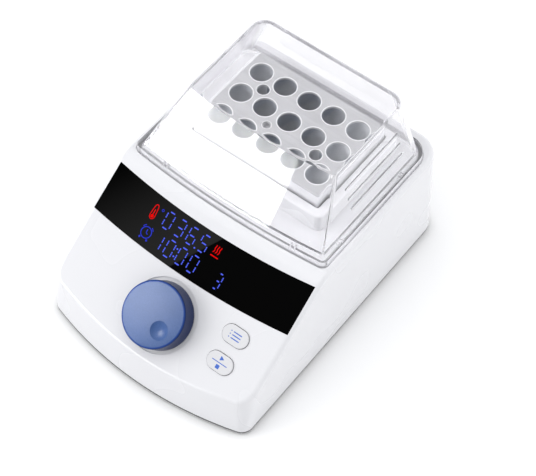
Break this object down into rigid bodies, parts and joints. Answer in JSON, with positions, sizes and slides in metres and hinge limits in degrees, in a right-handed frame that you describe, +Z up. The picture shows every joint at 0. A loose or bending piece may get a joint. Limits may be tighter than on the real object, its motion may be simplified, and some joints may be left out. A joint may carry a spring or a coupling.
{
  "type": "dry bath incubator",
  "caption": "Small bench dry bath: wedge-shaped white housing with sloped control panel, rotary knob, push buttons and a clear lift-off lid over a bored aluminium heating block.",
  "frame": {"origin": "middle of the body's footprint, on the surface that the feet stand on", "axes": "+Z up, -Y towards the front with the control panel, +X to the right-hand side"},
  "size_m": [0.1158, 0.1638, 0.0978],
  "materials": {
    "white_shell": "satin white moulded plastic",
    "dark_base": "dark moulded plastic",
    "foot_rubber": "matt black rubber",
    "screw_steel": "plated steel",
    "clear_lid": "clear moulded plastic",
    "block_aluminium": "fine bead-blasted aluminium",
    "heater_rubber": "silicone heater mat",
    "bracket_steel": "bare sheet steel",
    "insulation": "fibre insulation",
    "liner_plastic": "heat-resistant plastic",
    "black_plastic": "black plastic",
    "black_gloss": "black glossy window",
    "board_green": "green circuit board",
    "shaft_brass": "turned brass",
    "blue_plastic": "fine-grained blue plastic",
    "white_button": "white moulded button",
    "coil_dark": "varnished coil",
    "terminal_green": "green terminal body",
    "ribbon_grey": "grey ribbon cable"
  },
  "bodies": {
    "housing": {"upper_housing": "white_shell", "base_tray": "dark_base", "rubber_foot_front_left": "foot_rubber", "rubber_foot_front_right": "foot_rubber", "rubber_foot_rear_left": "foot_rubber", "rubber_foot_rear_right": "foot_rubber", "case_screws": "screw_steel", "heating_block": "block_aluminium", "block_screw": "screw_steel", "heater_plate": "block_aluminium", "heater_pad": "heater_rubber", "pad_clamp": "bracket_steel", "clamp_screws": "screw_steel", "insulation_board": "insulation", "chamber_liner": "liner_plastic", "insulation_sleeve": "insulation", "heater_bracket": "bracket_steel", "bracket_screws": "screw_steel", "temperature_probe": "bracket_steel", "thermal_cutout": "black_plastic", "display_window": "black_gloss", "display_module": "black_plastic", "control_board": "board_green", "control_board_screws": "screw_steel", "encoder_body": "bracket_steel", "encoder_bush": "bracket_steel", "program_switch": "black_plastic", "run_switch": "black_plastic", "buzzer": "black_plastic", "panel_header": "black_plastic", "main_board": "board_green", "main_board_screws": "screw_steel", "heat_sink": "block_aluminium", "power_transistor": "black_plastic", "smoothing_capacitors": "black_plastic", "power_coil": "coil_dark", "terminal_block": "terminal_green", "main_header": "black_plastic", "ribbon_cable": "ribbon_grey", "dc_inlet": "black_plastic", "dc_inlet_pin": "shaft_brass", "dc_inlet_nut": "bracket_steel", "rocker_switch": "black_plastic"},
    "cover": {"lid": "clear_lid"},
    "push_shaft": {"encoder_plunger": "shaft_brass"},
    "turning_knob": {"encoder_shaft": "shaft_brass", "control_knob": "blue_plastic"},
    "program_key": {"program_button": "white_button", "program_switch_stem": "black_plastic"},
    "run_key": {"run_button": "white_button", "run_switch_stem": "black_plastic"},
    "power_rocker": {"rocker_paddle": "black_plastic"}
  },
  "joints": [
    {"name": "lid_lift", "type": "slide", "parent": "housing", "child": "cover", "axis": [0, 0, 1], "range_m": [0, 0.07]},
    {"name": "knob_press", "type": "slide", "parent": "housing", "child": "push_shaft", "axis": [0, 0.583, -0.8125], "range_m": [0, 0.0006], "stiffness_N_per_m": 2500, "springref_m": -0.001},
    {"name": "knob_turn", "type": "hinge", "parent": "push_shaft", "child": "turning_knob", "pos_m": [0, -0.06112, 0.03336], "axis": [0, -0.583, 0.8125], "continuous": true},
    {"name": "program_press", "type": "slide", "parent": "housing", "child": "program_key", "axis": [0, 0.583, -0.8125], "range_m": [0, 0.0005], "stiffness_N_per_m": 1500, "springref_m": -0.001},
    {"name": "run_press", "type": "slide", "parent": "housing", "child": "run_key", "axis": [0, 0.583, -0.8125], "range_m": [0, 0.0005], "stiffness_N_per_m": 1500, "springref_m": -0.001},
    {"name": "rocker_tip", "type": "hinge", "parent": "housing", "child": "power_rocker", "pos_m": [0.024, 0.0773, 0.0185], "axis": [1, 0, 0], "range_deg": [0, 20]}
  ]
}
